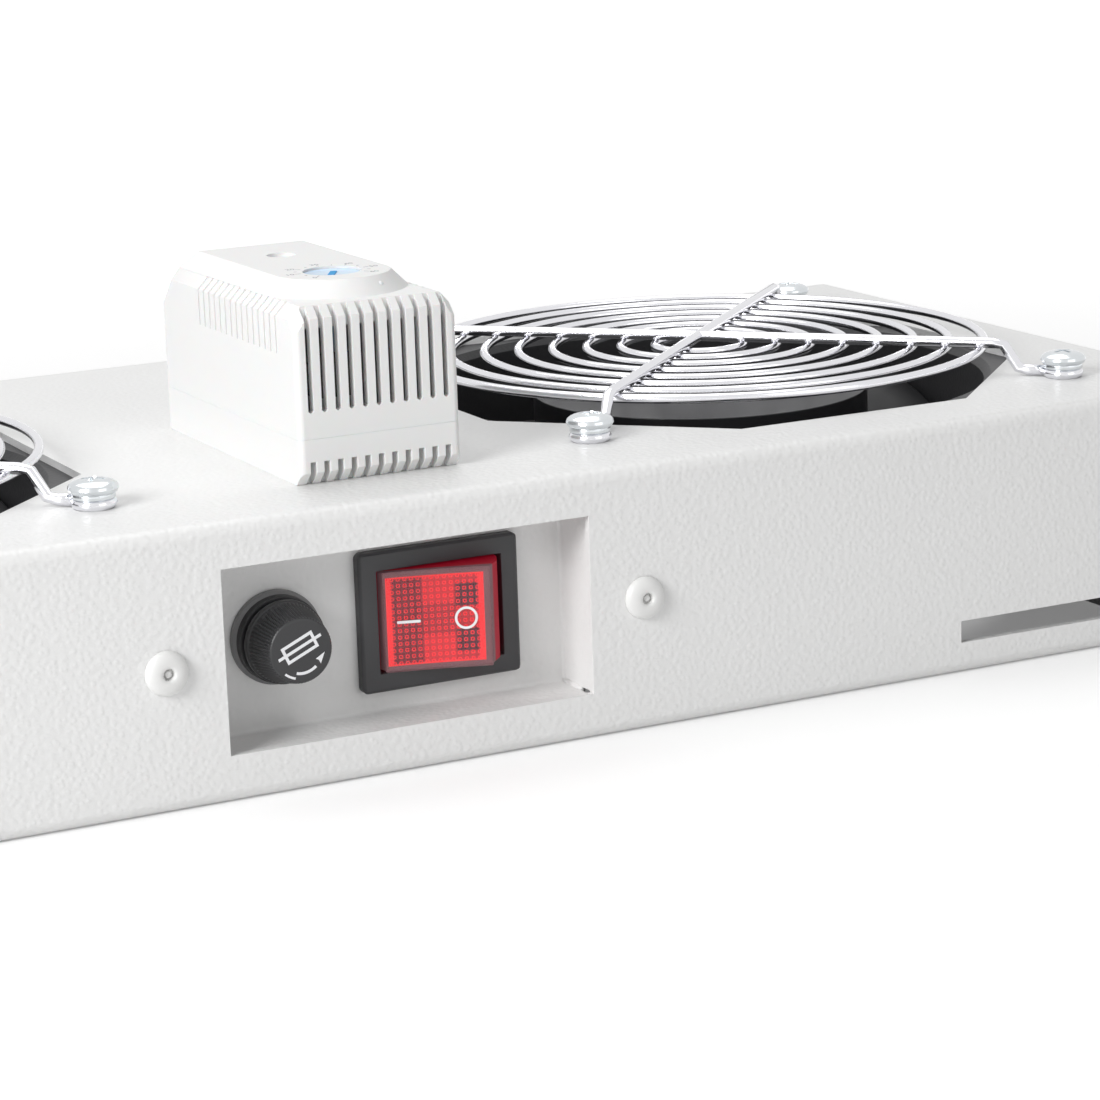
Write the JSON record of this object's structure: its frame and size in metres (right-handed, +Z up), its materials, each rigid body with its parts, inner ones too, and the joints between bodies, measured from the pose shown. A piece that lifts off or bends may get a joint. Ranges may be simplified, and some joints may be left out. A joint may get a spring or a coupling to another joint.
{
  "type": "rack fan tray",
  "caption": "Flat steel fan tray for a cabinet: wire-guarded fans blow up through the top, with a thermostat, and a recessed fuse holder and lit rocker switch in front.",
  "frame": {"origin": "centre of the four base fixing holes, on the tray's underside", "axes": "+X to the right seen from the control side, +Y to the rear, +Z up"},
  "size_m": [0.355, 0.1712, 0.0835],
  "materials": {
    "powder_coat": "light grey textured powder coat",
    "rivet_paint": "white painted",
    "fan_casting": "black painted casting",
    "fan_plastic": "matt black",
    "motor_steel": "plain steel",
    "motor_core": "laminated core",
    "guard_chrome": "bright plated wire",
    "zinc": "zinc plated",
    "white_plastic": "white moulding",
    "dial_blue": "light blue",
    "brass": "plain",
    "dark_plastic": "dark grey moulding",
    "red_lens": "translucent red",
    "clear_glass": "clear",
    "nylon": "black nylon",
    "seal_rubber": "soft black",
    "natural_plastic": "natural nylon"
  },
  "bodies": {
    "tray": {"housing": "powder_coat", "control_pan": "powder_coat", "pan_rivets": "rivet_paint", "fan_screws": "zinc", "fan_washers": "zinc", "fan_nuts": "zinc", "thermostat_base": "white_plastic", "thermostat_cover": "white_plastic", "thermostat_cover_screw": "zinc", "thermostat_post": "natural_plastic", "thermostat_bimetal": "brass", "thermostat_fixing_screws": "zinc", "switch_case": "dark_plastic", "switch_lamp": "clear_glass", "switch_tabs": "brass", "fuse_body": "dark_plastic", "fuse_nut": "dark_plastic", "fuse_rear_tab": "brass", "fuse_side_tab": "brass", "gland_body": "nylon", "gland_seal": "seal_rubber", "gland_nut": "nylon", "gland_lock_nut": "nylon", "terminal_block": "natural_plastic", "block_screw": "zinc", "block_nut": "zinc", "earth_stud": "zinc", "earth_washer": "zinc", "earth_nut": "zinc", "fan_left_frame": "fan_casting", "fan_left_spider": "fan_casting", "fan_left_bearings": "motor_steel", "fan_left_stator": "motor_core", "fan_left_guard": "guard_chrome", "fan_right_frame": "fan_casting", "fan_right_spider": "fan_casting", "fan_right_bearings": "motor_steel", "fan_right_stator": "motor_core", "fan_right_guard": "guard_chrome"},
    "left_rotor": {"fan_left_rotor": "fan_plastic", "fan_left_shaft": "motor_steel"},
    "right_rotor": {"fan_right_rotor": "fan_plastic", "fan_right_shaft": "motor_steel"},
    "rocker": {"switch_rocker": "red_lens"},
    "dial": {"thermostat_dial": "dial_blue"},
    "fuse_link": {"fuse_glass": "clear_glass", "fuse_end_caps": "motor_steel"},
    "fuse_knob": {"fuse_cap": "dark_plastic", "fuse_carrier": "dark_plastic"}
  },
  "joints": [
    {"name": "left_fan_spin", "type": "hinge", "parent": "tray", "child": "left_rotor", "pos_m": [-0.1005, 0, 0.03], "axis": [0, 0, 1], "continuous": true},
    {"name": "right_fan_spin", "type": "hinge", "parent": "tray", "child": "right_rotor", "pos_m": [0.1005, 0, 0.03], "axis": [0, 0, 1], "continuous": true},
    {"name": "rocker_tilt", "type": "hinge", "parent": "tray", "child": "rocker", "pos_m": [0.0101, -0.0628, 0.0247], "axis": [0, 0, 1], "range_deg": [0, 35]},
    {"name": "dial_turn", "type": "hinge", "parent": "tray", "child": "dial", "pos_m": [0.0031, -0.041, 0.08], "axis": [0, 0, 1], "range_deg": [-135, 135]},
    {"name": "fuse_pull", "type": "slide", "parent": "tray", "child": "fuse_link", "axis": [0, -1, 0], "range_m": [0, 0.035]},
    {"name": "fuse_turn", "type": "hinge", "parent": "fuse_link", "child": "fuse_knob", "pos_m": [-0.0208, -0.072, 0.0247], "axis": [0, -1, 0], "range_deg": [-90, 0]}
  ]
}
